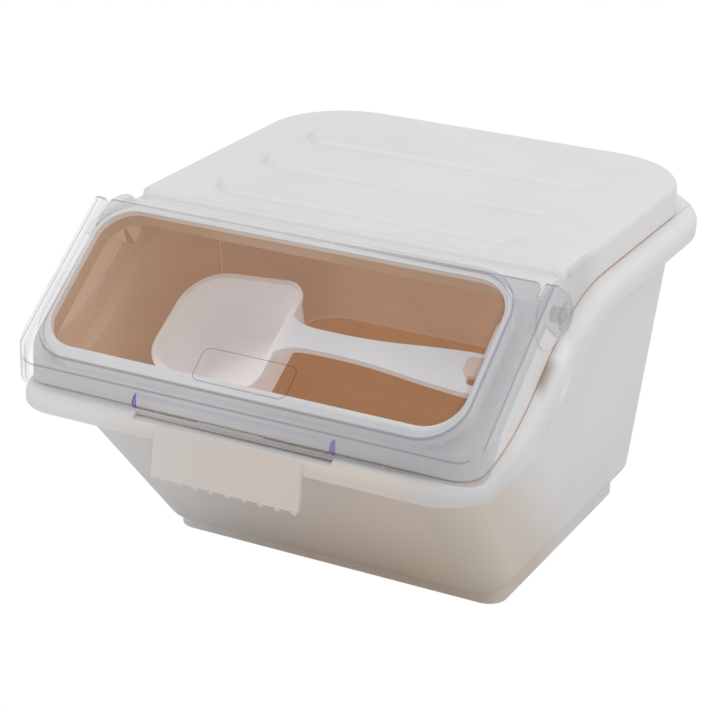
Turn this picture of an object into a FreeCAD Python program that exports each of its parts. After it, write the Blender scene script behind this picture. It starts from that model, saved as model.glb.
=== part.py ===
"""Slant-front shelf bin for dry food: tub, snap-on cover, clear hinged front lid and scoop.

Units are millimetres.  +Z is up, the front faces -Y and X = 0 is the plane of symmetry.
Depths are laid out from the front edge of the foot, and every shape is moved at the end
so that the origin is at the centre of the assembly's footprint, on the surface it stands on.

Most of the front is built on the slant plane, in its own coordinates: x across, s up the
slope and o, the distance outwards, square to the slope.
"""
import FreeCAD, Part
import math
import os

from FreeCAD import Placement, Rotation, Vector

# ---- driving dimensions -----------------------------------------------------------------
WALL = 3.0                      # tub wall
COVER_WALL = 2.6                # cover wall
CLEAR_WALL = 2.5                # clear lid wall
SLANT = 37.0                    # slope of the window and the clear lid, degrees
FAR = 400.0                     # beyond the object, for cutting tools

FOOT_HALF = 119.4               # foot ring
FOOT_DEPTH = 200.8
FOOT_RADIUS = 13.0
FOOT_H = 11.0
FOOT_WALL = 4.0
FOOT_RECESS = 8.0

TUB_BOTTOM_HALF = 125.4         # tub walls, at the height of the foot's top
TUB_BOTTOM_FRONT = -11.2
TUB_BOTTOM_BACK = 221.2
TUB_BOTTOM_RADIUS = 25.0
TUB_TOP_Z = 214.0               # the tub's walls are lofted up to here, then cut to the rim
TUB_TOP_HALF = 144.2
TUB_TOP_FRONT = -190.0
TUB_TOP_BACK = 240.2
TUB_TOP_FRONT_RADIUS = 40.0
TUB_TOP_BACK_RADIUS = 28.0
TUB_EDGE_RADIUS = 11.0          # round between the walls and the floor

RIM_BACK_Z = 210.0              # the rim's side profile: high at the back, low in front
RIM_FRONT_Z = 143.5
RIM_SLOPE = 34.0
RIM_MID_Y = -30.0
RIM_MID_Z = 174.5
RIM_BEND = 144.0
RIM_LOW_HALF = 154.9            # half width at RIM_LOW_Z and RIM_HIGH_Z
RIM_LOW_Z = 100.0
RIM_HIGH_HALF = 166.9
RIM_HIGH_Z = 240.0
RIM_FRONT = -134.0
RIM_BACK = 260.0
RIM_FRONT_RADIUS = 32.0
RIM_BACK_RADIUS = 70.0
RIM_ROLL = 9.0                  # radius of the rolled outer edge
RIM_SHEET = 3.0
RIM_SKIRT_BACK_Z = 194.0        # lower edge of the rim's skirt
RIM_SKIRT_FRONT_Z = 131.0
RIM_SKIRT_SLOPE = 36.0
RIM_SKIRT_MID_Y = -20.0
RIM_SKIRT_MID_Z = 152.0
RIM_SKIRT_TOP_BEND = 90.0
RIM_SKIRT_LOW_BEND = 60.0

PULL_GAP_HALF = 67.0            # flat stretch of the front rim, under the lid's grip
PULL_GAP_DROP = 3.2
PULL_HALF = 50.0                # front pull plate below it
PULL_TOP_Y = -134.4
PULL_FACE = -139.0              # its lower edge stands further out than its upper one
PULL_THICK = 2.8
PULL_BOTTOM_Z = 109.4
PULL_RIBS = 9
PULL_RIB_FIRST = -41.5
PULL_RIB_PITCH = 11.1
PULL_RIB_DEPTH = 6.0
PULL_RIB_THICK = 3.0
PULL_RIB_DROP = 2.2
PULL_RIB_SHOULDER = 4.0
PULL_RIB_TIP = 0.6

COVER_TOP_Z = 230.9             # cover: top block
COVER_TOP_HALF = 150.0
COVER_LOW_HALF = 152.8
COVER_LOW_Z = 130.0
COVER_TOP_FRONT = 8.6
COVER_TOP_BACK = 244.3
COVER_LOW_BACK = 246.5
COVER_BACK_RADIUS = 60.0
COVER_STEP_RADIUS = 8.0
COVER_EDGE_RADIUS = 4.5
COVER_GAP = 0.8                 # gap between the cover's edge and the rim
LEDGE_Z = 224.4                 # low ledge in front of the top block
COVE_HALF = 142.0               # hollow round where the ledge meets the block
COVE_RADIUS = 2.4
FRAME_FRONT = -121.8            # sloping frame around the window
FRAME_OFFSET = 200.0
FRAME_FRONT_RADIUS = 16.0

UPSTAND_HEIGHT = 14.5           # thin wall on the rim that the cover fits around
UPSTAND_WALL = 1.8
UPSTAND_GAP = 0.6

RIB_HALF = 113.0                # raised ribs on the cover's top, with soft slopes
RIB_WIDTH = 42.0
RIB_FRONTS = (26.6, 88.1, 149.6)
RIB_SLOPE = ((0.0, -2.0), (0.4, 0.0), (1.4, 0.7), (2.8, 2.1), (4.2, 3.5), (5.6, 4.1), (7.4, 4.3))

WINDOW_HALF = 139.0             # window opening in the cover
WINDOW_LOW = 6.3
WINDOW_HIGH = 108.5
WINDOW_RADIUS = 23.0
LIP_HALF = 141.5                # raised lip around it
LIP_LOW = -1.0
LIP_HIGH = 112.0
LIP_OFFSET = 213.0
LIP_DEPTH = 5.0                 # the lip is thick for this far, then thins to its wall
LIP_WALL = 1.9
LIP_EDGE = 1.2

LID_HALF = 159.0                # clear lid: flange
LID_FRONT = -127.0
LID_OFFSET = 203.5
LID_HIGH = 119.5
LID_FRONT_RADIUS = 18.0
LID_FRONT_SKIRT = 15.0
LID_SIDE_SKIRT = 9.6
LID_SKIRT_FRONT_Y = 12.0        # the skirt deepens between these depths behind the front
LID_SKIRT_SIDE_Y = 27.0
LID_SKIRT_BENDS = (14.0, 12.0)
PANEL_HALF = 144.7              # clear lid: raised panel over the lip
PANEL_LOW = -4.2
PANEL_HIGH = 115.2
PANEL_OFFSET = 216.5
PANEL_RADIUS = 29.0
PANEL_EDGE = 3.0
GRIP_HALF = 67.0                # half-round grip on the front skirt
GRIP_RADIUS = 4.7
GRIP_Z = 150.3
GRIP_SLOT_INNER = 23.0
GRIP_SLOT_OUTER = 65.0
GRIP_SLOT_Z = 147.6
GRIP_SLOT_H = 0.9
GRIP_SLOT_DEPTH = 1.6
LABEL_CENTRE = 3.8              # faint raised label field
LABEL_HALF = 31.5
LABEL_LOW = 1.0
LABEL_HIGH = 24.0
LABEL_RADIUS = 5.0
LABEL_HEIGHT = 0.4
EAR_SLIT = 2.0                  # relief slit between the flange and each ear
EAR_SLIT_X = 150.4
EAR_SLIT_LOW = 110.0
REAR_CORNER_RADIUS = 5.0

PIVOT_Y = -15.5                 # hinge axis of the clear lid
PIVOT_Z = 211.5
EAR_RADIUS = 13.0
EAR_LOWER_Y = -41.0             # where the ear's lower edge leaves the lid's skirt
LUG_RADIUS = 22.3               # lugs of the cover behind the ears, with a flatter crown
LUG_CROWN_RADIUS = 35.0
LUG_CROWN_Y = -13.5
LUG_CROWN_Z = 196.5
LUG_INSIDE = 147.0
LUG_EDGE = 2.0
BOSS_INSIDE = 139.0
BOSS_RADIUS = 9.0
PIN_RADIUS = 5.0
PIN_CLEARANCE = 0.05
PIN_END = 141.0
PIN_HEAD_RADIUS = 9.4
PIN_HEAD_THICK = 2.2
PIN_HEAD_GAP = 0.3
PIN_HEAD_ROUND = 0.6
PIN_RECESS_RADIUS = 5.6
PIN_RECESS = 1.0
PIN_NUB_RADIUS = 1.8

SCOOP_OFFSET = 155.0            # rim of the scoop, parallel to the slant plane
BOWL_CORNERS = ((-101.8, 33.0, 20.0), (-23.0, 33.0, 14.0), (-18.8, 114.3, 12.0),
                (-96.8, 108.0, 30.0))     # x, s and corner radius, seen from outside
BOWL_DEPTH = 43.0
BOWL_TAPER = 9.0
BOWL_FLOOR_ROUND = 10.0
SCOOP_WALL = 2.0
BOWL_BEAD = 1.2
BOWL_BEAD_H = 2.4
HANDLE_S = 77.4
HANDLE_OUTLINE = ((-26.0, 19.0), (-18.0, 12.6), (-9.0, 8.7), (4.0, 7.5), (24.0, 7.5),
                  (50.0, 8.9), (78.0, 11.9), (100.0, 13.8), (114.0, 13.4), (122.5, 9.0))
HANDLE_END_X = 125.5
HANDLE_THICK = 2.4
HANDLE_DEPTH = 6.0
HANDLE_WALL = 2.0
SLOT_X0 = 106.8
SLOT_X1 = 119.6
SLOT_HALF = 8.2
SLOT_RADIUS = 3.0

HOLDER_TONGUE_X = 104.2         # clip on the cover that holds the end of the handle
HOLDER_TONGUE_S = 79.6
HOLDER_TONGUE_HALF = 6.6
HOLDER_TONGUE_THICK = 4.4
HOLDER_TONGUE_ROUND = 4.5
HOLDER_SHELF_X = 114.2
HOLDER_HALF = 12.0
HOLDER_ARM_X0 = 130.5
HOLDER_ARM_X1 = 133.5
HOLDER_THICK = 2.6
HOLDER_CLEARANCE = 0.35
HOLDER_FLANGE_X = 147.0

DEPTH_CENTRE = (RIM_BACK + PULL_FACE) / 2.0

COS = math.cos(math.radians(SLANT))
SIN = math.sin(math.radians(SLANT))


# ---- outlines and simple solids ---------------------------------------------------------
def rounded_wire(x0, x1, y0, y1, low_radius, high_radius, z=0.0):
    """Closed rectangle with arcs at its low-Y corners and at its high-Y corners."""
    diag = 1.0 - math.sqrt(0.5)
    edges = []
    corners = ((x0, y0, 1, 1, low_radius), (x1, y0, -1, 1, low_radius),
               (x1, y1, -1, -1, high_radius), (x0, y1, 1, -1, high_radius))
    starts, ends = [], []
    for index, (x, y, inward_x, inward_y, r) in enumerate(corners):
        along_x = Vector(x + inward_x * r, y, z)
        along_y = Vector(x, y + inward_y * r, z)
        middle = Vector(x + inward_x * r * diag, y + inward_y * r * diag, z)
        first, last = (along_y, along_x) if index % 2 == 0 else (along_x, along_y)
        edges.append(Part.Arc(first, middle, last).toShape())
        starts.append(first)
        ends.append(last)
    for index in range(4):
        edges.append(Part.LineSegment(ends[index], starts[(index + 1) % 4]).toShape())
    return Part.Wire(Part.__sortEdges__(edges))


def stadium_wire(half_length, half_width, y, z):
    """Closed outline with straight long sides and round ends, along X."""
    x = half_length - half_width
    right = Part.Arc(Vector(x, y - half_width, z), Vector(x + half_width, y, z),
                     Vector(x, y + half_width, z)).toShape()
    left = Part.Arc(Vector(-x, y + half_width, z), Vector(-x - half_width, y, z),
                    Vector(-x, y - half_width, z)).toShape()
    back = Part.LineSegment(Vector(x, y + half_width, z), Vector(-x, y + half_width, z))
    front = Part.LineSegment(Vector(-x, y - half_width, z), Vector(x, y - half_width, z))
    return Part.Wire([right, back.toShape(), left, front.toShape()])


def corner_wire(corners, z, inset=0.0):
    """Closed outline through (x, y, radius) corners, moved inwards by the inset."""
    count = len(corners)
    points = [Vector(x, y, 0) for x, y, _ in corners]
    edges, ends = [], []
    for index in range(count):
        here = points[index]
        back = (points[index - 1] - here).normalize()
        ahead = (points[(index + 1) % count] - here).normalize()
        half_angle = back.getAngle(ahead) / 2.0
        inward = (back + ahead).normalize()
        radius = max(corners[index][2] - inset, 1.0)
        here = here + inward * (inset / math.sin(half_angle))
        reach = radius / math.tan(half_angle)
        middle = here + inward * (radius / math.sin(half_angle) - radius)
        arc = [here + back * reach, middle, here + ahead * reach]
        lifted = [Vector(point.x, point.y, z) for point in arc]
        edges.append(Part.Arc(*lifted).toShape())
        ends.append((lifted[0], lifted[2]))
    for index in range(count):
        edges.append(Part.LineSegment(ends[index][1], ends[(index + 1) % count][0]).toShape())
    return Part.Wire(Part.__sortEdges__(edges))


def prism(wire, height):
    return Part.Face(wire).extrude(Vector(0, 0, height))


def loft(low, high):
    return Part.makeLoft([low, high], True, True)


def path_edges(points):
    """Edges in the YZ plane through (y, z, bend radius) points, with arcs at the bends."""
    corner = [Vector(0, y, z) for y, z, _ in points]
    edges = []
    here = corner[0]
    for index in range(1, len(points)):
        there = corner[index]
        radius = points[index][2]
        if radius:
            back = (corner[index - 1] - there).normalize()
            ahead = (corner[index + 1] - there).normalize()
            half_angle = back.getAngle(ahead) / 2.0
            reach = radius / math.tan(half_angle)
            centre_line = (back + ahead).normalize()
            middle = there + centre_line * (radius / math.sin(half_angle) - radius)
            start, end = there + back * reach, there + ahead * reach
            edges.append(Part.LineSegment(here, start).toShape())
            edges.append(Part.Arc(start, middle, end).toShape())
            here = end
        else:
            edges.append(Part.LineSegment(here, there).toShape())
            here = there
    return edges


def side_prism(points, x0=-FAR, x1=FAR):
    """Solid whose section in the YZ plane is the closed path through the points."""
    face = Part.Face(Part.Wire(path_edges(list(points) + [points[0]])))
    face.translate(Vector(x0, 0, 0))
    return face.extrude(Vector(x1 - x0, 0, 0))


def below(profile):
    """Everything under a side profile that runs from the back to the front."""
    return side_prism(list(profile) + [(-FAR, -FAR, 0), (FAR, -FAR, 0)])


def on_slant(shape):
    """Turns a shape from (x, s, o) coordinates into the slant plane's place."""
    turned = shape.copy()
    turned.Placement = Placement(Vector(), Rotation(Vector(1, 0, 0), SLANT)).multiply(turned.Placement)
    return turned


def slant_box(half_x, low, high, radius, inner_o, outer_o):
    return on_slant(prism(rounded_wire(-half_x, half_x, low, high, radius, radius, inner_o),
                          outer_o - inner_o))


def plain_box(x0, x1, y0, y1, z0, z1):
    return Part.makeBox(x1 - x0, y1 - y0, z1 - z0, Vector(x0, y0, z0))


def both_sides(shape):
    return [shape, shape.mirror(Vector(0, 0, 0), Vector(1, 0, 0))]


def x_cylinder(radius, x0, x1, y, z):
    return Part.makeCylinder(radius, x1 - x0, Vector(x0, y, z), Vector(1, 0, 0))


def outward_normal_z(face):
    u0, u1, v0, v1 = face.ParameterRange
    return face.normalAt((u0 + u1) / 2.0, (v0 + v1) / 2.0).z


def edges_between(shape, is_first, is_second):
    """Edges that a face of the first kind shares with a face of the second kind."""
    second = [edge for face in shape.Faces if is_second(face) for edge in face.Edges]
    shared = []
    for face in shape.Faces:
        if is_first(face):
            shared += [edge for edge in face.Edges if any(edge.isSame(other) for other in second)]
    return shared


def round_top_edge(shape, radius):
    """Rounds the outline of a solid's upper surface, where it meets the walls."""
    edges = edges_between(shape, lambda f: outward_normal_z(f) > 0.5,
                          lambda f: abs(outward_normal_z(f)) < 0.4)
    return shape.makeFillet(radius, edges)


def one_solid(shape):
    clean = shape.removeSplitter()
    solids = sorted(clean.Solids, key=lambda solid: solid.Volume)
    return solids[-1]


# ---- tub ---------------------------------------------------------------------------------
def bent_profile(back_z, front_z, slope, mid_y, mid_z, top_bend, low_bend):
    """High line at the back, sloping line through (mid_y, mid_z), low line in front."""
    rise = math.tan(math.radians(slope))
    top_y = mid_y + (back_z - mid_z) / rise
    low_y = mid_y - (mid_z - front_z) / rise
    return [(FAR, back_z, 0), (top_y, back_z, top_bend), (low_y, front_z, low_bend),
            (-FAR, front_z, 0)]


def rim_profile(drop=0.0):
    """Top of the rim; a positive drop gives the same curve further down."""
    return bent_profile(RIM_BACK_Z - drop, RIM_FRONT_Z - drop, RIM_SLOPE, RIM_MID_Y,
                        RIM_MID_Z - drop, RIM_BEND, RIM_BEND)


def rim_skirt_profile():
    return bent_profile(RIM_SKIRT_BACK_Z, RIM_SKIRT_FRONT_Z, RIM_SKIRT_SLOPE, RIM_SKIRT_MID_Y,
                        RIM_SKIRT_MID_Z, RIM_SKIRT_TOP_BEND, RIM_SKIRT_LOW_BEND)


def tub_loft(inset, floor_z):
    """Tapered tub body; the wall's inset makes the inside."""
    low = rounded_wire(-TUB_BOTTOM_HALF + inset, TUB_BOTTOM_HALF - inset,
                       TUB_BOTTOM_FRONT + inset, TUB_BOTTOM_BACK - inset,
                       TUB_BOTTOM_RADIUS - inset, TUB_BOTTOM_RADIUS - inset, floor_z)
    high = rounded_wire(-TUB_TOP_HALF + inset, TUB_TOP_HALF - inset,
                        TUB_TOP_FRONT + inset, TUB_TOP_BACK - inset,
                        TUB_TOP_FRONT_RADIUS - inset, TUB_TOP_BACK_RADIUS - inset, TUB_TOP_Z)
    solid = loft(low, high)
    edges = edges_between(solid, lambda f: outward_normal_z(f) < -0.95,
                          lambda f: abs(outward_normal_z(f)) < 0.9)
    return solid.makeFillet(TUB_EDGE_RADIUS - inset / 2.0, edges)


def rim_block(inset):
    """Full-plan block whose upper edge is rolled; two of them make the rim's shell."""
    walls = []
    for half, z in ((RIM_LOW_HALF, RIM_LOW_Z), (RIM_HIGH_HALF, RIM_HIGH_Z)):
        walls.append(rounded_wire(-half + inset, half - inset, RIM_FRONT + inset, RIM_BACK - inset,
                                  RIM_FRONT_RADIUS - inset, RIM_BACK_RADIUS - inset, z))
    block = loft(walls[0], walls[1]).common(below(rim_profile(inset)))
    return round_top_edge(block, RIM_ROLL - inset)


def foot():
    outer = prism(rounded_wire(-FOOT_HALF, FOOT_HALF, 0, FOOT_DEPTH, FOOT_RADIUS, FOOT_RADIUS),
                  FOOT_H + WALL)
    w = FOOT_WALL
    recess = prism(rounded_wire(-FOOT_HALF + w, FOOT_HALF - w, w, FOOT_DEPTH - w,
                                FOOT_RADIUS - w, FOOT_RADIUS - w), FOOT_RECESS)
    return outer.cut(recess)


def pull_plate():
    """Plate below the front rim, with upright ribs behind it that show at its lower edge."""
    top_z = RIM_FRONT_Z - PULL_GAP_DROP - RIM_SHEET / 2
    tip_z = PULL_BOTTOM_Z - PULL_RIB_DROP
    back = PULL_FACE + PULL_THICK
    plate = side_prism([(PULL_TOP_Y, top_z, 0), (PULL_FACE, PULL_BOTTOM_Z, 0),
                        (back, PULL_BOTTOM_Z, 0), (PULL_TOP_Y + PULL_THICK, top_z, 0)],
                       -PULL_HALF, PULL_HALF)
    ribs = []
    for index in range(PULL_RIBS):
        x = PULL_RIB_FIRST + index * PULL_RIB_PITCH
        profile = [(PULL_TOP_Y, top_z, 0), (PULL_FACE, PULL_BOTTOM_Z, 0),
                   (PULL_FACE + PULL_RIB_TIP, tip_z, 0),
                   (PULL_FACE + PULL_RIB_DEPTH, PULL_BOTTOM_Z + PULL_RIB_SHOULDER, 0),
                   (PULL_TOP_Y + PULL_RIB_DEPTH, top_z, 0)]
        ribs.append(side_prism(profile, x - PULL_RIB_THICK / 2, x + PULL_RIB_THICK / 2))
    return plate.multiFuse(ribs)


def front_gap():
    """Cut-back of the front rim under the lid's grip, and the thin floor that it leaves."""
    top_z = RIM_FRONT_Z - PULL_GAP_DROP
    half, back_y = PULL_GAP_HALF, FRAME_FRONT - 2
    gap = plain_box(-half, half, RIM_FRONT - 1, back_y, top_z, RIM_FRONT_Z + 1)
    floor = plain_box(-half, half, RIM_FRONT - 1, back_y, top_z - RIM_SHEET, top_z)
    return gap, floor.common(rim_block(0.0))


def cover_plan(inset):
    """Everything inside the outline of the cover's walls, less an inset."""
    low = rounded_wire(-COVER_LOW_HALF + inset, COVER_LOW_HALF - inset,
                       FRAME_FRONT + inset, COVER_LOW_BACK - inset,
                       FRAME_FRONT_RADIUS - inset, COVER_BACK_RADIUS - inset, COVER_LOW_Z)
    high = rounded_wire(-COVER_TOP_HALF + inset, COVER_TOP_HALF - inset,
                        FRAME_FRONT + inset, COVER_TOP_BACK - inset,
                        FRAME_FRONT_RADIUS - inset, COVER_BACK_RADIUS - inset, COVER_TOP_Z)
    return loft(low, high)


def upstand():
    """Thin wall on top of the rim, just inside the cover, that keeps the cover in place."""
    gap = COVER_WALL + UPSTAND_GAP
    ring = cover_plan(gap).cut(cover_plan(gap + UPSTAND_WALL))
    ring = ring.common(below(rim_profile(-UPSTAND_HEIGHT)))
    ring = ring.cut(below(rim_profile(RIM_SHEET / 2)))
    return ring.common(cover_block(gap).multiFuse([cover_frame(gap)]))


def tub_cavity():
    """Inside of the tub; above the rim's sheet it is only as wide as the upstand leaves."""
    mouth = cover_plan(COVER_WALL + UPSTAND_GAP + UPSTAND_WALL)
    allowed = below(rim_profile(RIM_SHEET)).fuse(mouth)
    return tub_loft(WALL, FOOT_H + WALL).common(allowed)


def bin_body():
    tub = tub_loft(0.0, FOOT_H).common(below(rim_profile(RIM_SHEET / 2)))
    rim = rim_block(0.0).cut(rim_block(RIM_SHEET)).cut(below(rim_skirt_profile()))
    gap, gap_floor = front_gap()
    shape = tub.multiFuse([rim.cut(gap), gap_floor, foot(), pull_plate()])
    return one_solid(shape.cut(tub_cavity()).fuse(upstand()))


# ---- cover -------------------------------------------------------------------------------
def slant_line_z(y, offset):
    """Height of the slant plane at this offset, over the place y."""
    return (offset + y * SIN) / COS


def cover_block(inset):
    low = rounded_wire(-COVER_LOW_HALF + inset, COVER_LOW_HALF - inset,
                       COVER_TOP_FRONT + inset, COVER_LOW_BACK - inset,
                       COVER_STEP_RADIUS, COVER_BACK_RADIUS - inset, COVER_LOW_Z)
    high = rounded_wire(-COVER_TOP_HALF + inset, COVER_TOP_HALF - inset,
                        COVER_TOP_FRONT + inset, COVER_TOP_BACK - inset,
                        COVER_STEP_RADIUS, COVER_BACK_RADIUS - inset, COVER_TOP_Z - inset)
    return round_top_edge(loft(low, high), COVER_EDGE_RADIUS - inset / 2)


def cover_frame(inset):
    """Low part in front of the top block: level ledge, then the sloping window frame."""
    ledge_z = LEDGE_Z - inset
    offset = FRAME_OFFSET - inset
    turn_y = (ledge_z * COS - offset) / SIN
    profile = [(FAR, ledge_z, 0), (turn_y, ledge_z, 0), (-FAR, slant_line_z(-FAR, offset), 0)]
    back = COVER_TOP_FRONT + 4 * COVER_STEP_RADIUS
    low = rounded_wire(-COVER_LOW_HALF + inset, COVER_LOW_HALF - inset, FRAME_FRONT + inset, back,
                       FRAME_FRONT_RADIUS - inset, 1.0, COVER_LOW_Z)
    high = rounded_wire(-COVER_TOP_HALF + inset, COVER_TOP_HALF - inset, FRAME_FRONT + inset, back,
                        FRAME_FRONT_RADIUS - inset, 1.0, COVER_TOP_Z)
    return loft(low, high).common(side_prism(profile + [(-FAR, -FAR, 0), (FAR, -FAR, 0)]))


def cover_rib(front):
    """Long raised rib with round ends; its slope is lofted through a row of outlines."""
    middle = front + RIB_WIDTH / 2.0
    outlines = [stadium_wire(RIB_HALF - inset, RIB_WIDTH / 2.0 - inset, middle, COVER_TOP_Z + rise)
                for inset, rise in RIB_SLOPE]
    return Part.makeLoft(outlines, True, True)


def lug():
    """Hinge lug: a short cylinder round the pivot, cut off by a flatter crown."""
    x1 = COVER_LOW_HALF - 1.0
    solid = x_cylinder(LUG_RADIUS, LUG_INSIDE, x1, PIVOT_Y, PIVOT_Z)
    solid = solid.common(x_cylinder(LUG_CROWN_RADIUS, LUG_INSIDE, x1, LUG_CROWN_Y, LUG_CROWN_Z))
    inner = [edge for edge in solid.Edges
             if edge.BoundBox.XMax < LUG_INSIDE + 0.1 and edge.BoundBox.XLength < 0.1]
    return solid.makeFillet(LUG_EDGE, inner)


def ledge_cove():
    """Hollow round along the foot of the top block's front face."""
    y, z, reach = COVER_TOP_FRONT, LEDGE_Z, COVE_RADIUS + 0.1
    return side_prism([(y + 1, z - 1, 0), (y + 1, z + reach, 0), (y, z + reach, 0),
                       (y, z, COVE_RADIUS), (y - reach, z, 0), (y - reach, z - 1, 0)],
                      -COVE_HALF, COVE_HALF)


def window_lip():
    """Raised border round the window: thick at its top, a thin wall below."""
    radius = WINDOW_RADIUS + LIP_HALF - WINDOW_HALF
    outer = slant_box(LIP_HALF, LIP_LOW, LIP_HIGH, radius, FRAME_OFFSET - 10.0, LIP_OFFSET)
    top_edges = edges_between(outer, lambda f: outward_normal_z(f) > 0.75,
                              lambda f: outward_normal_z(f) < 0.7)
    outer = outer.makeFillet(LIP_EDGE, top_edges)
    hollow = slant_box(LIP_HALF - LIP_WALL, LIP_LOW + LIP_WALL, LIP_HIGH - LIP_WALL,
                       radius - LIP_WALL, FRAME_OFFSET - 40.0, LIP_OFFSET - LIP_DEPTH)
    opening = slant_box(WINDOW_HALF, WINDOW_LOW, WINDOW_HIGH, WINDOW_RADIUS,
                        FRAME_OFFSET - 60.0, LIP_OFFSET + 10.0)
    return outer, hollow, opening


def pin_bore(x):
    return x_cylinder(PIN_RADIUS, PIN_END, x, PIVOT_Y, PIVOT_Z)


def cover():
    lip, lip_hollow, opening = window_lip()
    outer = cover_block(0.0).multiFuse([cover_frame(0.0), ledge_cove()])
    ribs = [cover_rib(front) for front in RIB_FRONTS]
    outer = outer.multiFuse([lip] + both_sides(lug()) + ribs)
    outer = outer.cut(below(rim_profile(-COVER_GAP)))
    hollow = cover_block(COVER_WALL).multiFuse([cover_frame(COVER_WALL), lip_hollow])
    shell = outer.cut(hollow)
    bosses = both_sides(x_cylinder(BOSS_RADIUS, BOSS_INSIDE, COVER_TOP_HALF, PIVOT_Y, PIVOT_Z))
    shell = shell.multiFuse(bosses).cut(opening)
    for bore in both_sides(pin_bore(FAR)):
        shell = shell.cut(bore)
    return one_solid(shell)


# ---- clear lid ---------------------------------------------------------------------------
def lid_flange(inset, skirt):
    plan = prism(rounded_wire(-LID_HALF + inset, LID_HALF - inset, LID_FRONT + inset, FAR,
                              LID_FRONT_RADIUS - inset, 1.0), FAR)
    offset = LID_OFFSET - inset
    top = side_prism([(FAR, slant_line_z(FAR, offset), 0), (-FAR, slant_line_z(-FAR, offset), 0),
                      (-FAR, -FAR, 0), (FAR, -FAR, 0)])
    solid = plan.common(top).cut(skirt)
    rear = on_slant(plain_box(-FAR, FAR, LID_HIGH, FAR, -FAR, FAR))
    return solid if inset else solid.cut(rear)


def lid_skirt_cut():
    """Everything below the lid's lower edge: short skirt at the sides, deeper in front."""
    side_y = LID_FRONT + LID_SKIRT_SIDE_Y
    side_bend, front_bend = LID_SKIRT_BENDS
    side_z = slant_line_z(side_y, LID_OFFSET) - LID_SIDE_SKIRT
    back_z = slant_line_z(0.0, LID_OFFSET) - LID_SIDE_SKIRT
    front_z = slant_line_z(LID_FRONT, LID_OFFSET) - LID_FRONT_SKIRT
    profile = [(FAR, back_z + FAR * SIN / COS, 0), (side_y, side_z, side_bend),
               (LID_FRONT + LID_SKIRT_FRONT_Y, front_z, front_bend), (-FAR, front_z, 0)]
    return below(profile)


def ear():
    """Plate beside the cover that carries the hinge pin: a disc joined to the lid's edge."""
    x0, x1 = LID_HALF - CLEAR_WALL, LID_HALF
    corner = Vector(x0, LID_HIGH * COS - LID_OFFSET * SIN, LID_HIGH * SIN + LID_OFFSET * COS)
    lower_z = slant_line_z(EAR_LOWER_Y, LID_OFFSET) - LID_SIDE_SKIRT
    lower = Vector(x0, EAR_LOWER_Y, lower_z)
    centre = Vector(x0, PIVOT_Y, PIVOT_Z)

    def tangent_point(point, side):
        away = point - centre
        turn = math.degrees(math.acos(EAR_RADIUS / away.Length)) * side
        return centre + Rotation(Vector(1, 0, 0), turn).multVec(away.normalize() * EAR_RADIUS)

    outline = [corner, tangent_point(corner, -1), centre, tangent_point(lower, 1), lower]
    plate = Part.Face(Part.makePolygon(outline + [corner])).extrude(Vector(x1 - x0, 0, 0))
    return plate.fuse(x_cylinder(EAR_RADIUS, x0, x1, PIVOT_Y, PIVOT_Z))


def grip():
    bar = x_cylinder(GRIP_RADIUS, -GRIP_HALF, GRIP_HALF, LID_FRONT, GRIP_Z)
    return bar.common(plain_box(-FAR, FAR, -FAR, LID_FRONT + CLEAR_WALL / 2, 0, FAR))


def grip_slots():
    slot = plain_box(GRIP_SLOT_INNER, GRIP_SLOT_OUTER, LID_FRONT - GRIP_RADIUS,
                     LID_FRONT - GRIP_RADIUS + GRIP_SLOT_DEPTH, GRIP_SLOT_Z,
                     GRIP_SLOT_Z + GRIP_SLOT_H)
    return both_sides(slot)


def ear_slit():
    """Slit between the flange and an ear, with the flange's corner beside it rounded."""
    x0, x1 = EAR_SLIT_X - EAR_SLIT / 2, EAR_SLIT_X + EAR_SLIT / 2
    r, low_o, high_o = REAR_CORNER_RADIUS, LID_OFFSET - 20.0, LID_OFFSET + 1.0
    slit = plain_box(x0, x1, EAR_SLIT_LOW, LID_HIGH + 1, low_o, high_o)
    corner = plain_box(x0 - r, x0 + 0.1, LID_HIGH - r, LID_HIGH + 1, low_o, high_o)
    round_part = Part.makeCylinder(r, high_o - low_o, Vector(x0 - r, LID_HIGH - r, low_o))
    return on_slant(slit.fuse(corner.cut(round_part)))


def front_lid():
    skirt = lid_skirt_cut()
    panel = slant_box(PANEL_HALF, PANEL_LOW, PANEL_HIGH, PANEL_RADIUS, LID_OFFSET - 2.0,
                      PANEL_OFFSET)
    top_edges = edges_between(panel, lambda f: outward_normal_z(f) > 0.75,
                              lambda f: outward_normal_z(f) < 0.7)
    panel = panel.makeFillet(PANEL_EDGE, top_edges)
    w = CLEAR_WALL
    hollow = slant_box(PANEL_HALF - w, PANEL_LOW + w, PANEL_HIGH - w, PANEL_RADIUS - w,
                       LID_OFFSET - 20.0, PANEL_OFFSET - w)
    label = slant_box(LABEL_HALF, LABEL_LOW, LABEL_HIGH, LABEL_RADIUS, PANEL_OFFSET - 1.0,
                      PANEL_OFFSET + LABEL_HEIGHT)
    label.translate(Vector(LABEL_CENTRE, 0, 0))
    inside = lid_flange(w, below([(FAR, 0, 0), (-FAR, 0, 0)]))
    shape = lid_flange(0.0, skirt).multiFuse([panel, grip()])
    shape = shape.cut(inside).cut(hollow).fuse(label)
    shape = shape.multiFuse(both_sides(ear()))
    bore = x_cylinder(PIN_RADIUS + PIN_CLEARANCE, LID_HALF - 2 * w, FAR, PIVOT_Y, PIVOT_Z)
    for tool in both_sides(ear_slit()) + both_sides(bore) + grip_slots():
        shape = shape.cut(tool)
    return one_solid(shape)


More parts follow.
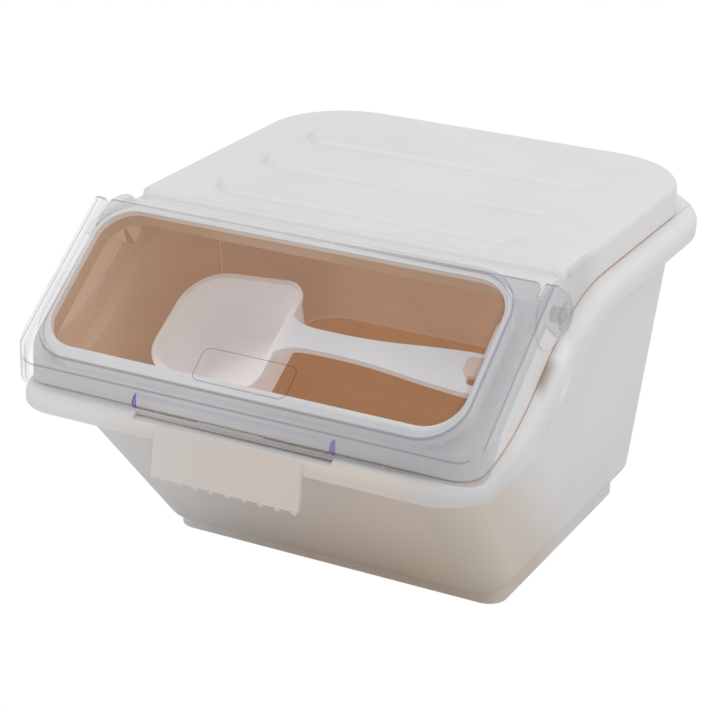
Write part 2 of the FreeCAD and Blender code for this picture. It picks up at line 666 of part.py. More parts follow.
# ---- hinge pins --------------------------------------------------------------------------
def hinge_pin():
    """Snap-in pin with a flat head, a recess in the head and a small nub in the recess."""
    head_x = LID_HALF + PIN_HEAD_GAP
    face_x = head_x + PIN_HEAD_THICK
    shank = x_cylinder(PIN_RADIUS, PIN_END, head_x, PIVOT_Y, PIVOT_Z)
    head = x_cylinder(PIN_HEAD_RADIUS, head_x, face_x, PIVOT_Y, PIVOT_Z)
    outer_edge = [edge for edge in head.Edges
                  if edge.BoundBox.XMin > face_x - 0.1 and edge.BoundBox.XLength < 0.1]
    head = head.makeFillet(PIN_HEAD_ROUND, outer_edge)
    recess = x_cylinder(PIN_RECESS_RADIUS, face_x - PIN_RECESS, face_x + 1, PIVOT_Y, PIVOT_Z)
    nub = x_cylinder(PIN_NUB_RADIUS, face_x - PIN_RECESS - 0.5, face_x - 0.2, PIVOT_Y, PIVOT_Z)
    return one_solid(shank.fuse(head).cut(recess).fuse(nub))


# ---- scoop and its clip ------------------------------------------------------------------
def bowl_solid(inset, depth, lip=0.0):
    """Tapered bowl; built downwards from the scoop's rim, in (x, s, o) coordinates."""
    low = corner_wire(BOWL_CORNERS, SCOOP_OFFSET - depth, inset + BOWL_TAPER)
    high = corner_wire(BOWL_CORNERS, SCOOP_OFFSET + lip, inset)
    solid = loft(low, high)
    edges = edges_between(solid, lambda f: outward_normal_z(f) < -0.95,
                          lambda f: abs(outward_normal_z(f)) < 0.9)
    return solid.makeFillet(BOWL_FLOOR_ROUND - inset, edges)


def handle_face(inset):
    """Outline of the handle, the same on both sides of its centre line."""
    scale = [(x + (inset if index == 0 else 0.0), half - inset)
             for index, (x, half) in enumerate(HANDLE_OUTLINE)]
    upper = [Vector(x, HANDLE_S + half, 0) for x, half in scale]
    end = [Vector(HANDLE_END_X - inset, HANDLE_S, 0)]
    lower = [Vector(x, HANDLE_S - half, 0) for x, half in reversed(scale)]
    curve = Part.BSplineCurve()
    curve.interpolate(upper + end + lower)
    closing = Part.LineSegment(lower[-1], upper[0]).toShape()
    return Part.Face(Part.Wire([curve.toShape(), closing]))


def handle():
    face = handle_face(0.0)
    face.translate(Vector(0, 0, SCOOP_OFFSET - HANDLE_DEPTH))
    block = face.extrude(Vector(0, 0, HANDLE_DEPTH))
    channel = handle_face(HANDLE_WALL)
    channel.translate(Vector(0, 0, SCOOP_OFFSET - HANDLE_DEPTH - 1))
    block = block.cut(channel.extrude(Vector(0, 0, HANDLE_DEPTH + 1 - HANDLE_THICK)))
    slot = prism(rounded_wire(SLOT_X0, SLOT_X1, HANDLE_S - SLOT_HALF, HANDLE_S + SLOT_HALF,
                              SLOT_RADIUS, SLOT_RADIUS, SCOOP_OFFSET - 2 * HANDLE_DEPTH),
                 4 * HANDLE_DEPTH)
    return block.cut(slot)


def scoop():
    outer = bowl_solid(0.0, BOWL_DEPTH)
    bead = prism(corner_wire(BOWL_CORNERS, SCOOP_OFFSET - BOWL_BEAD_H, -BOWL_BEAD), BOWL_BEAD_H)
    inside = bowl_solid(SCOOP_WALL, BOWL_DEPTH - SCOOP_WALL, 1.0)
    return on_slant(one_solid(outer.multiFuse([bead, handle()]).cut(inside)))


def scoop_holder():
    """Clip under the cover's right side: a shelf and a tongue take the handle's end."""
    c = HOLDER_CLEARANCE
    t = HOLDER_THICK
    top = FRAME_OFFSET - COVER_WALL
    shelf_o = SCOOP_OFFSET - HANDLE_DEPTH - c
    tongue_o = SCOOP_OFFSET + c
    s0, s1 = HANDLE_S - HOLDER_HALF, HANDLE_S + HOLDER_HALF
    arm = plain_box(HOLDER_ARM_X0, HOLDER_ARM_X1, s0, s1, shelf_o - t, top)
    shelf = plain_box(HOLDER_SHELF_X, HOLDER_ARM_X0, s0, s1, shelf_o - t, shelf_o)
    r = HOLDER_TONGUE_ROUND
    tongue = prism(rounded_wire(HOLDER_TONGUE_X, HOLDER_ARM_X0 + 2 * r,
                                HOLDER_TONGUE_S - HOLDER_TONGUE_HALF,
                                HOLDER_TONGUE_S + HOLDER_TONGUE_HALF,
                                r, r, tongue_o), HOLDER_TONGUE_THICK)
    tongue = tongue.common(plain_box(0, HOLDER_ARM_X1, 0, FAR, 0, FAR))
    flange = plain_box(HOLDER_ARM_X0, HOLDER_FLANGE_X, s0, s1, top - t, top)
    return on_slant(one_solid(arm.multiFuse([shelf, tongue, flange])))


# ---- assembly ----------------------------------------------------------------------------
def build():
    pin = hinge_pin()
    left_pin = pin.mirror(Vector(0, 0, 0), Vector(1, 0, 0))
    return {"bin_body": bin_body(), "cover": cover(), "front_lid": front_lid(),
            "hinge_pin_left": left_pin, "hinge_pin_right": pin,
            "scoop": scoop(), "scoop_holder": scoop_holder()}


def main():
    os.makedirs("parts", exist_ok=True)
    for name, shape in build().items():
        shape.translate(Vector(0, -DEPTH_CENTRE, 0))
        shape.exportStep(os.path.join("parts", name + ".step"))
        box = shape.BoundBox
        print(name, "valid", shape.isValid(), "volume", round(shape.Volume / 1000.0, 1), "cm3",
              "box", [round(v, 1) for v in (box.XMin, box.XMax, box.YMin, box.YMax,
                                            box.ZMin, box.ZMax)])


main()
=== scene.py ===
"""Looks for the slant-front food bin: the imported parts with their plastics, light and camera."""

import math

import bpy
from mathutils import Matrix, Vector

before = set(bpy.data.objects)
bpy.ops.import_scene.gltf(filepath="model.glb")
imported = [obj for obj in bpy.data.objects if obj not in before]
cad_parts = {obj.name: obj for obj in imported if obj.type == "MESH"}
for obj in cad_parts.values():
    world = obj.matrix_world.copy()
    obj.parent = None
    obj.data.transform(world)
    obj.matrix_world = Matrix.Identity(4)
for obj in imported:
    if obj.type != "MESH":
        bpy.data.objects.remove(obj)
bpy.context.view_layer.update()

# ---- camera -----------------------------------------------------------------------------
CAMERA_AT = Vector((0.62147, -1.24482, 0.70220))
CAMERA_AIM = Vector((-0.03022, 0.02822, 0.10899))
CAMERA_ROLL = math.radians(1.18)
LENS_MM, SENSOR_MM = 115.98, 36.0
VIEW_END = 60.0


def add_camera():
    """Long lens from the front right, a little above, tilted slightly about its own axis."""
    forward = (CAMERA_AIM - CAMERA_AT).normalized()
    level_right = forward.cross(Vector((0, 0, 1))).normalized()
    level_up = level_right.cross(forward)
    right = level_right * math.cos(CAMERA_ROLL) + level_up * math.sin(CAMERA_ROLL)
    up = right.cross(forward)
    data = bpy.data.cameras.new("camera")
    data.lens = LENS_MM
    data.sensor_width = SENSOR_MM
    data.clip_end = VIEW_END
    camera = bpy.data.objects.new("camera", data)
    bpy.context.scene.collection.objects.link(camera)
    turn = Matrix((right, up, -forward)).transposed().to_4x4()
    camera.matrix_world = Matrix.Translation(CAMERA_AT) @ turn
    bpy.context.scene.camera = camera


# ---- sizes of the bin that the masks need, in metres ------------------------------------
SLANT = math.radians(37.0)      # slope of the window and the clear lid
ORIGIN_Y = 0.0605               # the slope's own coordinates start this far behind the centre
PIVOT_Y = -0.076                # hinge line of the clear lid

# Tub: its inner faces at the floor, and how far they lean out with height.
TUB_HALF, TUB_FRONT, TUB_BACK, TUB_FLOOR = 0.1254, -0.0717, 0.1607, 0.011
SIDE_DRAFT, FRONT_DRAFT = 0.0926, 0.881
CAVITY_CENTRE = (0.0, 0.03, 0.13)

# Cover: its outer faces at its lower edge, their lean, its levels and its window.
COVER_HALF, COVER_BACK, COVER_FRONT, COVER_LOW_Z = 0.1528, 0.186, -0.1823, 0.13
COVER_SIDE_DRAFT, COVER_BACK_DRAFT, COVER_CORNER = 0.0277, 0.0218, 0.06
COVER_TOP_Z, LEDGE_Z, FRAME_OUT, BLOCK_FRONT = 0.2309, 0.2244, 0.2, -0.05
WINDOW_CENTRE = (0.0, -0.1305, 0.1851)
WINDOW_HALF, WINDOW_MIDDLE, WINDOW_REACH = 0.1399, 0.0555, 0.0548
BOSS_INNER, BOSS_HALF, BOSS_REACH = 0.1385, 0.1488, 0.012

# Clear lid: flange, raised panel, blank label field, and the grip at its front.
LID_HALF, LID_FRONT, LID_OUT, LID_LENGTH = 0.159, -0.1875, 0.2035, 0.1195
PANEL_HALF, PANEL_MIDDLE, PANEL_LENGTH, PANEL_RADIUS = 0.1447, 0.0555, 0.1194, 0.029
LABEL_X, LABEL_HALF, LABEL_OUT = 0.0038, 0.0315, 0.215
LABEL_MIDDLE, LABEL_REACH, LABEL_RADIUS = 0.0125, 0.0115, 0.005
GRIP_END, GRIP_Y, GRIP_Z, GRIP_REACH_Z = 0.067, -0.1875, 0.1503, 0.0045
GRIP_TOP_Z, GRIP_TOP_Y = 0.1545, -0.187
SLOT_Z, SLOT_X, SLOT_REACH, SLOT_Y = 0.1476, 0.044, 0.0215, -0.1865

# Lines are bands: a half width, then the width over which they fade.
HAIRLINE = (0.0001, 0.0003)
FINE_LINE = (0.0002, 0.0003)
THIN_LINE = (0.0003, 0.0003)
FOLD_LINE = (0.0004, 0.0003)
LEVEL_LINE = (0.0004, 0.0004)
CREASE_LINE = (0.0005, 0.0005)
CLEAN_EDGE = 0.0001             # fade of a mask that ends at a part's own edge


# ---- where the tints come in or fade ----------------------------------------------------
# A pair runs from one place to another, in metres. A TURN is a value of the surface's normal.
LEVEL_TURN, UNDERSIDE_TURN = 0.5, -0.5      # faces that count as level, and as undersides

# Tub, inside: depths below its inner faces and below the cover's outer faces.
INSIDE_DEPTH, MOUTH_DEPTH = (0.0012, 0.002), (0.0038, 0.0042)
LEFT_WALL_X = (-0.138, -0.1)
DEEP_Z, DEEP_FADE = 0.0745, 0.0006          # up to this height the inside looks deeper in tone
DEEP_LINE_UP = 0.0009                       # painted highlight line just above it
CREASE_Y, CREASE_LIGHT = 0.0265, 0.0016     # painted shade line for a faint upright crease on the left wall, and its painted highlight
LEFT_CREASE_X, LEFT_CREASE_Z = (-0.12, -0.115), (0.075, 0.08)

# Tub, outside, for painted light and shade: sloping front, rim in front, near side, rim's near
# corner.
FRONT_TURN, BELOW_RIM_Z = (-0.45, -0.2), (0.135, 0.15)
BRIGHT_LEFT_X, WARM_X = (-0.1, -0.03), (-0.13, 0.04)
LOW_RIGHT_LEAN, LOW_RIGHT = -1.5, (-0.16, 0.05)     # across, plus this much of the height
RIM_FRONT_Y, RIM_FRONT_X = (-0.184, -0.176), (-0.15, 0.1)
BEHIND_PULL_Y = (-0.190, -0.186)
NEAR_SIDE_X, NEAR_SIDE_LOW, NEAR_SIDE_Z = (0.1, 0.11), (-0.02, 0.07), (0.09, 0.14)
RIM_CORNER_X, RIM_CORNER_Y, RIM_Z = (0.1, 0.14), (-0.16, -0.12), 0.13

# Rim on the right, measured outwards from the cover's side: painted pocket shade, painted shoulder
# highlight, and seam.
POCKET_OUTER, POCKET_INNER = (0.0005, 0.0085), (-0.002, 0.0)
POCKET_Y, POCKET_LENGTH = -0.0875, (0.003, 0.011)
SHOULDER_EDGE, SHOULDER_WIDTH = 0.006, (0.001, 0.0035)
SHOULDER_Y, SHOULDER_LENGTH = -0.07, (0.003, 0.007)
SEAM_EDGE, SEAM_Y, SEAM_TURN = 0.0002, (-0.165, -0.15), 0.3

# Cover: depth below its levels, height of the window's walls, painted shade on its side by the
# hinge, and painted light on the step to its top block.
UNDER_COVER, BOSS_DEPTH = (0.0008, 0.0014), (0.0026, 0.0032)
LIP_OUT, WALL_OUT = (0.2119, 0.2127), (0.2078, 0.2084)
HINGE_SIDE_X, HINGE_SIDE_Y, HINGE_SIDE_LENGTH = 0.148, -0.04, (0.012, 0.03)
STEP_TURN = (-0.8, -0.5)

# Scoop: from the bowl's left end to its right, and from the bowl to the handle.
BOWL_RIGHT, HANDLE_X = (-0.15, -0.115), (-0.03, -0.012)

# Clear lid: painted shade round the panel, painted highlight and shade lines inside its edge and
# the flange's, grip and the painted shade of its slots.
PANEL_SHADE_DEPTH, PANEL_SHADE_X, PANEL_SHADE_LEAST = (0.004, 0.009), (-0.02, 0.13), 0.1
PANEL_RISE, PANEL_DARK, PANEL_PALE, PANEL_PALE_LINE = 0.001, 0.0006, 0.0022, (0.0007, 0.0004)
FLANGE_THICK, FLANGE_DARK = 0.0012, 0.0024
FLANGE_PALE, FLANGE_PALE_LINE = 0.0006, (0.0006, 0.0003)
FOLD_IN, FRONT_FOLD_REACH = 0.0008, 0.003
LABEL_EDGE = 0.0002
GRIP_SIDE_WIDTH, GRIP_SIDE_FADE, GRIP_FADE_Y = (0.0005, 0.0006), 0.001, 0.002
SLOT_LINE, SLOT_FADE = (0.0005, 0.0003), 0.0005
EDGE_TINT_TURN, SKIN_TURN = (0.6, 0.97), (0.3, 0.95)        # how far edge on the plastic is seen


# ---- surface texture --------------------------------------------------------------------
# Noise: scale, detail, roughness; and the part of its range that is used.
MOTTLE, MOTTLE_RANGE = (9.0, 4.0, 0.55), (0.35, 0.68)
SMUDGE, SMUDGE_RANGE = (28.0, 5.0, 0.6), (0.3, 0.75)
STREAK, STREAK_RANGE, STREAK_STRETCH = (16.0, 4.0, 0.6), (0.3, 0.7), (0.25, 0.25, 4.0)
FLOW, GRAIN = (60.0, 2.0, 0.4), (2200.0, 2.0, 0.5)
FLOW_BUMP, GRAIN_BUMP = (0.06, 0.002), (0.1, 0.0002)        # strength, distance
CLEAR_MOTTLE, CLEAR_MOTTLE_RANGE = (20.0, 3.0, 0.5), (0.3, 0.7)
CLEAR_SMUDGE, CLEAR_SMUDGE_RANGE, CLEAR_ROUGH = (35.0, 4.0, 0.6), (0.4, 0.8), (0.05, 0.12)
CLEAR_FLOW, CLEAR_BUMP = (45.0, 2.0, 0.4), (0.03, 0.002)
MOULDED_IOR, CLEAR_IOR = 1.5, 1.49
SATIN, SMOOTH = 0.42, 0.36                  # roughness, less and more where it is smudged
SMUDGE_LESS, SMUDGE_MORE = 0.07, 0.1
CLEAR_FACE, CLEAR_EDGE = 0.96, 0.55         # part of the view that passes one skin of the lid
# less passes at the pale lines, which shows them as painted highlights
PALE_LINE_PASS = 0.8
WALL_GLOW, SCOOP_GLOW = 0.13, 0.3           # painted glow, standing in for light that comes through the thin white walls


# ---- colours ----------------------------------------------------------------------------
def rgb(red, green, blue):
    """Screen colour, 0 to 255, as a linear shader colour."""
    def linear(value):
        value /= 255.0
        return value / 12.92 if value <= 0.04045 else ((value + 0.055) / 1.055) ** 2.4
    return (linear(red), linear(green), linear(blue), 1.0)


BLACK, FULL_WHITE = (0, 0, 0, 1), (1, 1, 1, 1)
WHITE, WHITE_SHADE = rgb(231, 230, 230), rgb(227, 226, 226)
# painted highlight and painted light
WHITE_HIGHLIGHT = rgb(244, 243, 242)
# painted shade
WHITE_SOFT_SHADE = rgb(216, 215, 215)
# painted shade on the rim in front
WHITE_DIM_SHADE = rgb(190, 187, 185)
# painted warm shade on the sloping front, the next one deeper low on the right
WHITE_WARM_SHADE = rgb(231, 219, 209)
WHITE_WARM_SHADE_LOW = rgb(226, 207, 190)
# painted shade low on the near side
WHITE_NEAR_SHADE = rgb(218, 206, 194)
TAN, TAN_STREAK = rgb(225, 198, 168), rgb(229, 204, 176)
TAN_DEEP = rgb(216, 168, 98)
# painted highlight lines: the inside's level line and beside the crease
TAN_HIGHLIGHT_LINE = rgb(236, 204, 172)
# painted shade on the window's inner walls
TAN_WALL_SHADE = rgb(192, 157, 123)
TAN_LEFT = rgb(211, 181, 150)
# painted shade of the crease
TAN_CREASE_SHADE = rgb(205, 160, 112)
SEAM_TAN = rgb(214, 158, 118)
PINK_LIP = rgb(236, 226, 220)
# painted shade of the pocket by the hinge
POCKET_SHADE = rgb(178, 160, 150)
SCOOP_WHITE, SCOOP_SHADE = rgb(236, 231, 229), rgb(232, 226, 223)
BOWL_LEFT_GLOW, BOWL_RIGHT_GLOW = rgb(102, 100, 102), rgb(218, 221, 225)
HANDLE_GLOW = rgb(146, 183, 206)
HOLDER_PINK, HOLDER_SHADE = rgb(238, 222, 214), rgb(232, 214, 205)
CLEAR_WHITE, CLEAR_SHADE = rgb(254, 254, 254), rgb(251, 251, 252)
PANEL_SHADE = rgb(238, 238, 240)
EDGE_SHADE = rgb(206, 205, 214)
LINE_SHADE = rgb(208, 208, 216)
# painted shade line round the label field
LABEL_SHADE_LINE = rgb(212, 203, 210)
GRIP_TOP = rgb(240, 239, 250)
GRIP_ENDS = rgb(184, 178, 236)
# painted shade in the grip's slots
SLOT_SHADE_PINK = rgb(205, 184, 178)


# ---- node helpers -----------------------------------------------------------------------
class Nodes:
    """Short ways to add and link the shader nodes of one material."""

    def __init__(self, name):
        self.material = bpy.data.materials.new(name)
        self.material.use_nodes = True
        self.tree = self.material.node_tree
        self.tree.nodes.clear()
        self.output = self.add("ShaderNodeOutputMaterial")
        self.place = self.add("ShaderNodeTexCoord").outputs["Object"]
        self.x, self.y, self.z = self.split(self.place)
        self.off_centre = self.math("ABSOLUTE", self.x)
        self.normal = self.add("ShaderNodeTexCoord").outputs["Normal"]
        self.normal_y, self.normal_z = self.split(self.normal)[1:]
        y = self.math("ADD", self.y, ORIGIN_Y)
        self.along = self.sum((math.cos(SLANT), y), (math.sin(SLANT), self.z))
        self.out = self.sum((-math.sin(SLANT), y), (math.cos(SLANT), self.z))

    def add(self, kind, **settings):
        node = self.tree.nodes.new(kind)
        for key, value in settings.items():
            setattr(node, key, value)
        return node

    def link(self, source, socket):
        self.tree.links.new(source, socket)

    def feed(self, socket, value):
        if isinstance(value, bpy.types.NodeSocket):
            self.link(value, socket)
        else:
            socket.default_value = value

    def split(self, vector):
        node = self.add("ShaderNodeSeparateXYZ")
        self.link(vector, node.inputs[0])
        return node.outputs[0], node.outputs[1], node.outputs[2]

    def math(self, operation, a, b=0.0):
        node = self.add("ShaderNodeMath", operation=operation)
        self.feed(node.inputs[0], a)
        self.feed(node.inputs[1], b)
        return node.outputs[0]

    def fold(self, operation, values):
        """Apply a two-value operation along a row of values."""
        total = values[0]
        for value in values[1:]:
            total = self.math(operation, total, value)
        return total

    def sum(self, *terms):
        """Weighted sum: each term is a socket, a number or a (weight, socket) pair."""
        return self.fold("ADD", [self.math("MULTIPLY", term[1], term[0])
                                 if isinstance(term, tuple) else term for term in terms])

    def least(self, *values):
        return self.fold("MINIMUM", values)

    def either(self, *masks):
        return self.fold("MAXIMUM", masks)

    def product(self, *values):
        return self.fold("MULTIPLY", values)

    def minus(self, a, b):
        return self.math("SUBTRACT", a, b)

    def distance(self, value, place):
        return self.math("ABSOLUTE", self.minus(value, place))

    def above(self, value, limit):
        """One where the value is above the limit, else zero."""
        return self.math("GREATER_THAN", value, limit)

    def below(self, value, limit):
        """One where the value is below the limit, else zero."""
        return self.math("LESS_THAN", value, limit)

    def ramp(self, value, low, high, to_low=0.0, to_high=1.0):
        node = self.add("ShaderNodeMapRange", interpolation_type="SMOOTHSTEP")
        self.feed(node.inputs["Value"], value)
        for name, number in (("From Min", low), ("From Max", high), ("To Min", to_low),
                             ("To Max", to_high)):
            node.inputs[name].default_value = number
        return node.outputs["Result"]

    def fade(self, value, low, high):
        """One below the low value, falling to zero at the high one."""
        return self.ramp(value, low, high, 1.0, 0.0)

    def band(self, value, centre, half, soft):
        """One inside centre +- half, falling to zero over the soft width on both sides."""
        return self.fade(self.distance(value, centre), half, half + soft)

    def mix(self, factor, a, b):
        node = self.add("ShaderNodeMix", data_type="RGBA")
        self.feed(node.inputs["Factor"], factor)
        self.feed(node.inputs["A"], a)
        self.feed(node.inputs["B"], b)
        return node.outputs["Result"]

    def mix_shaders(self, factor, a, b):
        """Mix two surface shaders and make the result the material's surface."""
        mixed = self.add("ShaderNodeMixShader")
        for socket, source in zip(mixed.inputs, (factor, a.outputs[0], b.outputs[0])):
            self.link(source, socket)
        self.link(mixed.outputs[0], self.output.inputs["Surface"])

    def noise(self, scale, detail, roughness, stretch=(1.0, 1.0, 1.0)):
        node = self.add("ShaderNodeTexNoise")
        scaled = self.add("ShaderNodeVectorMath", operation="MULTIPLY")
        self.link(self.place, scaled.inputs[0])
        scaled.inputs[1].default_value = stretch
        self.link(scaled.outputs[0], node.inputs["Vector"])
        node.inputs["Scale"].default_value = scale
        node.inputs["Detail"].default_value = detail
        node.inputs["Roughness"].default_value = roughness
        return node.outputs["Fac"]

    def bump(self, height, strength, distance, normal=None):
        node = self.add("ShaderNodeBump")
        node.inputs["Strength"].default_value = strength
        node.inputs["Distance"].default_value = distance
        self.link(height, node.inputs["Height"])
        if normal is not None:
            self.link(normal, node.inputs["Normal"])
        return node.outputs["Normal"]

    def rounded_depth(self, across, along, radius):
        """How deep inside a rounded corner, from the depths inside its two sides."""
        short = [self.either(self.minus(radius, side), 0.0) for side in (across, along)]
        squares = [self.math("POWER", value, 2.0) for value in short]
        return self.minus(radius, self.math("SQRT", self.sum(*squares)))

    def faces(self, centre):
        """One where the surface faces this point, zero where it faces away from it."""
        away = self.add("ShaderNodeVectorMath", operation="SUBTRACT")
        self.link(self.place, away.inputs[0])
        away.inputs[1].default_value = centre
        dot = self.add("ShaderNodeVectorMath", operation="DOT_PRODUCT")
        self.link(away.outputs[0], dot.inputs[0])
        self.link(self.normal, dot.inputs[1])
        return self.below(dot.outputs["Value"], 0.0)


# ---- white plastics ---------------------------------------------------------------------
class Plastic(Nodes):
    """Satin moulded plastic: faint mottling, fine skin texture, uneven gloss."""

    def __init__(self, name, base, shade, rough=SATIN):
        super().__init__(name)
        self.shader = self.add("ShaderNodeBsdfPrincipled")
        self.shader.inputs["IOR"].default_value = MOULDED_IOR
        self.link(self.shader.outputs[0], self.output.inputs["Surface"])
        self.color = self.mix(self.ramp(self.noise(*MOTTLE), *MOTTLE_RANGE), base, shade)
        smudge = self.ramp(self.noise(*SMUDGE), *SMUDGE_RANGE, rough - SMUDGE_LESS,
                           rough + SMUDGE_MORE)
        self.link(smudge, self.shader.inputs["Roughness"])
        flow = self.bump(self.noise(*FLOW), *FLOW_BUMP)
        skin = self.bump(self.noise(*GRAIN), *GRAIN_BUMP, flow)
        self.link(skin, self.shader.inputs["Normal"])

    def paint(self, color, *masks):
        self.color = self.mix(self.product(*masks), self.color, color)

    def tan_inside(self, mask):
        """Warm tan of the inside, with faint level streaks."""
        streak = self.ramp(self.noise(*STREAK, STREAK_STRETCH), *STREAK_RANGE)
        self.paint(self.mix(streak, TAN, TAN_STREAK), mask)

    def glow(self, color, strength):
        self.link(color, self.shader.inputs["Emission Color"])
        self.shader.inputs["Emission Strength"].default_value = strength

    def done(self):
        self.link(self.color, self.shader.inputs["Base Color"])
        return self.material


def inside_mask(n):
    """Inner faces of the tub's walls and floor."""
    up = n.minus(n.z, TUB_FLOOR)
    side = n.sum(TUB_HALF, (SIDE_DRAFT, up), (-1.0, n.off_centre))
    back = n.sum(TUB_BACK, (SIDE_DRAFT, up), (-1.0, n.y))
    front = n.sum(-TUB_FRONT, (FRONT_DRAFT, up), n.y)
    depth = n.least(side, back, front, up)
    return n.product(n.ramp(depth, *INSIDE_DEPTH), n.faces(CAVITY_CENTRE))


def mouth_mask(n):
    """Ledge and thin wall at the tub's mouth, as far as the cover hides them from outside."""
    up = n.minus(n.z, COVER_LOW_Z)
    side = n.sum(COVER_HALF, (-COVER_SIDE_DRAFT, up), (-1.0, n.off_centre))
    back = n.sum(COVER_BACK, (-COVER_BACK_DRAFT, up), (-1.0, n.y))
    front = n.minus(n.y, COVER_FRONT)
    depth = n.least(n.rounded_depth(side, back, COVER_CORNER), front)
    turned_in = n.either(n.faces(CAVITY_CENTRE), n.above(n.normal_z, LEVEL_TURN))
    return n.product(n.ramp(depth, *MOUTH_DEPTH), n.above(n.normal_z, UNDERSIDE_TURN), turned_in,
                     n.above(up, 0.0))


def front_light_and_shade(n):
    """Painted light and shade outside: painted highlight at the sloping front's left, painted warm
    shade on the front, deeper at its lower right; painted shade on the rim in front, low on the
    near side and at the rim's near corner.
    """
    front = n.product(n.fade(n.normal_y, *FRONT_TURN), n.fade(n.z, *BELOW_RIM_Z))
    n.paint(WHITE_HIGHLIGHT, front, n.fade(n.x, *BRIGHT_LEFT_X))
    n.paint(WHITE_WARM_SHADE, front, n.ramp(n.x, *WARM_X))
    n.paint(WHITE_WARM_SHADE_LOW, front, n.ramp(n.sum(n.x, (LOW_RIGHT_LEAN, n.z)), *LOW_RIGHT))
    n.paint(WHITE_DIM_SHADE, n.fade(n.y, *RIM_FRONT_Y), n.ramp(n.x, *RIM_FRONT_X),
            n.ramp(n.y, *BEHIND_PULL_Y))
    n.paint(WHITE_NEAR_SHADE, n.ramp(n.x, *NEAR_SIDE_X), n.fade(n.sum(n.y, n.z), *NEAR_SIDE_LOW),
            n.fade(n.z, *NEAR_SIDE_Z))
    n.paint(WHITE_SOFT_SHADE, n.ramp(n.x, *RIM_CORNER_X), n.fade(n.y, *RIM_CORNER_Y),
            n.above(n.z, RIM_Z))


def rim_light_shade_and_seam(n):
    """Painted shade of a pocket and painted highlight on a shoulder by the hinge, thin warm seam
    beside the cover.
    """
    edge = n.sum(n.x, -COVER_HALF, (COVER_SIDE_DRAFT, n.minus(n.z, COVER_LOW_Z)))
    n.paint(POCKET_SHADE, n.fade(edge, *POCKET_OUTER), n.ramp(edge, *POCKET_INNER),
            n.band(n.y, POCKET_Y, *POCKET_LENGTH))
    n.paint(WHITE_HIGHLIGHT, n.band(edge, SHOULDER_EDGE, *SHOULDER_WIDTH),
            n.band(n.y, SHOULDER_Y, *SHOULDER_LENGTH))
    n.paint(SEAM_TAN, n.band(edge, SEAM_EDGE, *HAIRLINE), n.above(n.x, 0.0),
            n.above(n.normal_z, SEAM_TURN), n.ramp(n.y, *SEAM_Y))


def tub_plastic():
    """White outside with painted light and shade; tan inside with a painted glow, deeper low down,
    with a painted highlight as its level line and a faint crease drawn as painted shade and
    highlight.
    """
    n = Plastic("tub_white", WHITE, WHITE_SHADE)
    front_light_and_shade(n)
    rim_light_shade_and_seam(n)
    inside = n.either(inside_mask(n), mouth_mask(n))
    n.tan_inside(inside)
    n.paint(TAN_LEFT, inside, n.fade(n.x, *LEFT_WALL_X))
    n.paint(TAN_DEEP, inside, n.fade(n.z, DEEP_Z, DEEP_Z + DEEP_FADE))
    n.paint(TAN_HIGHLIGHT_LINE, inside, n.band(n.z, DEEP_Z + DEEP_LINE_UP, *LEVEL_LINE))
    left = n.product(inside, n.fade(n.x, *LEFT_CREASE_X), n.ramp(n.z, *LEFT_CREASE_Z))
    n.paint(TAN_CREASE_SHADE, left, n.band(n.y, CREASE_Y, *CREASE_LINE))
    n.paint(TAN_HIGHLIGHT_LINE, left, n.band(n.y, CREASE_Y + CREASE_LIGHT, *CREASE_LINE))
    # painted glow of the inside, standing in for light through the thin walls
    n.glow(n.mix(inside, BLACK, n.color), WALL_GLOW)
    return n.done()


def cover_plastic():
    """White outside, with painted shade by the hinge and painted light on the step; tan underneath
    and on the window's inner walls, painted darker as shade on those walls, pink at their lip,
    with a painted glow.
    """
    n = Plastic("cover_white", WHITE, WHITE_SHADE)
    ledge = n.least(n.minus(LEDGE_Z, n.z), n.minus(FRAME_OUT, n.out))
    behind = n.above(n.y, BLOCK_FRONT)
    depth = n.sum(n.product(behind, n.minus(COVER_TOP_Z, n.z)),
                  n.product(n.minus(1.0, behind), ledge))
    under = n.product(n.ramp(depth, *UNDER_COVER), n.faces(CAVITY_CENTRE))
    wall = n.product(n.below(n.off_centre, WINDOW_HALF),
                     n.band(n.along, WINDOW_MIDDLE, WINDOW_REACH, CLEAN_EDGE),
                     n.faces(WINDOW_CENTRE))
    n.paint(PINK_LIP, wall, n.fade(n.out, *LIP_OUT))
    window = n.product(wall, n.fade(n.out, *WALL_OUT))
    bosses = n.product(n.below(n.off_centre, BOSS_HALF), n.above(n.off_centre, BOSS_INNER),
                       n.band(n.y, PIVOT_Y, BOSS_REACH, CLEAN_EDGE),
                       n.ramp(ledge, *BOSS_DEPTH))
    inside = n.either(under, bosses, window)
    n.tan_inside(inside)
    # painted shade: darker tan on the window's inner walls
    n.paint(TAN_WALL_SHADE, window)
    # painted shade on the cover's side by the hinge
    n.paint(WHITE_SOFT_SHADE, n.above(n.x, HINGE_SIDE_X), n.band(n.y, HINGE_SIDE_Y, *HINGE_SIDE_LENGTH))
    # painted light on the step face in front of the top block
    n.paint(WHITE_HIGHLIGHT, n.fade(n.normal_y, *STEP_TURN), n.above(n.z, LEDGE_Z),
            n.above(n.y, PIVOT_Y))
    # painted glow of the underside and window walls, standing in for light through the thin walls
    n.glow(n.mix(inside, BLACK, n.color), WALL_GLOW)
    return n.done()


def holder_plastic():
    """White with a touch of pink."""
    return Plastic("holder_pink", HOLDER_PINK, HOLDER_SHADE, SMOOTH).done()


